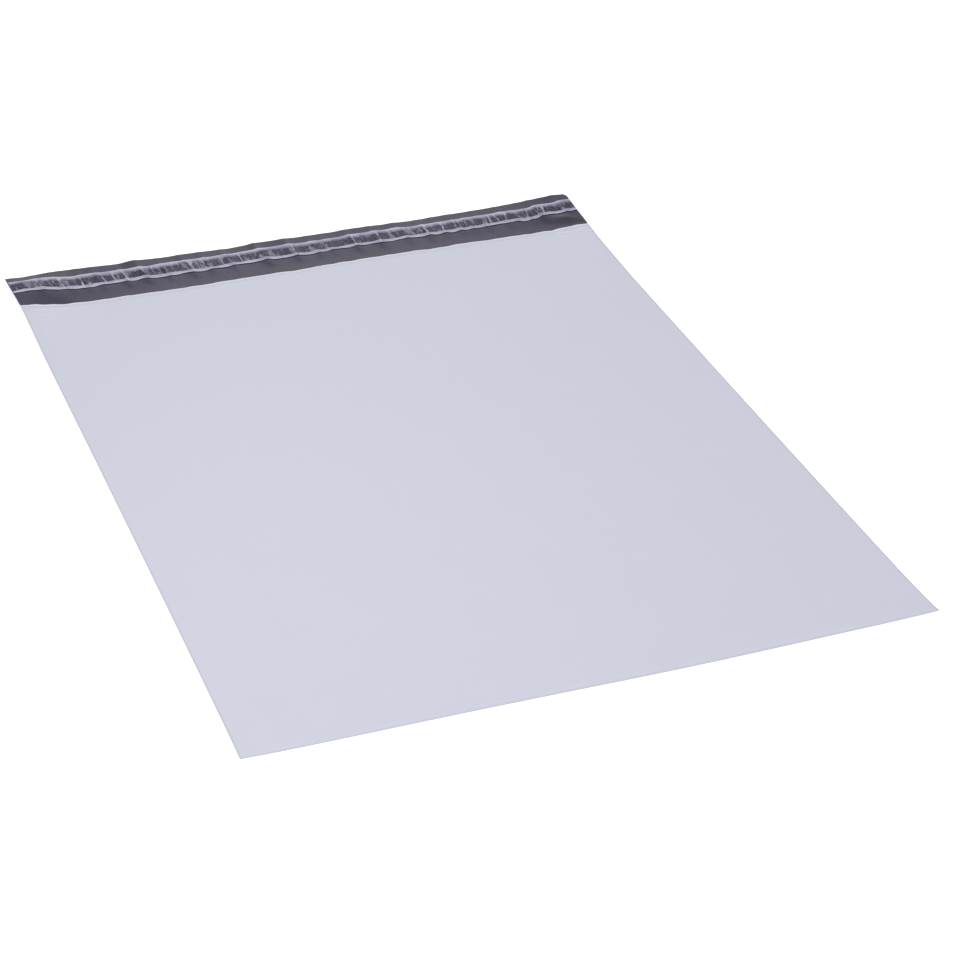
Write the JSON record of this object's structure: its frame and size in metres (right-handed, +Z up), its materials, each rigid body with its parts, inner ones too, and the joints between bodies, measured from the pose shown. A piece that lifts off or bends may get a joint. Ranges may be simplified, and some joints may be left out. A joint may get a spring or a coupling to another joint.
{
  "type": "poly mailer bag",
  "caption": "Open poly mailer lying flat: a folded and side-sealed film pocket with a long back lip that carries an adhesive strip under a rippled release liner.",
  "frame": {"origin": "middle of the bounding box, on the surface that the bag lies on", "axes": "+X across the bag from seam to seam, +Y from the bottom fold to the lip's free edge, +Z up out of the front panel"},
  "size_m": [0.4872, 0.6621, 0.0073],
  "materials": {
    "white_film": "satin",
    "adhesive": "wet, tacky hot-melt",
    "release_liner": "thin translucent film"
  },
  "bodies": {
    "root": {"bag_film": "white_film", "adhesive_strip": "adhesive", "release_liner": "release_liner"}
  },
  "joints": []
}
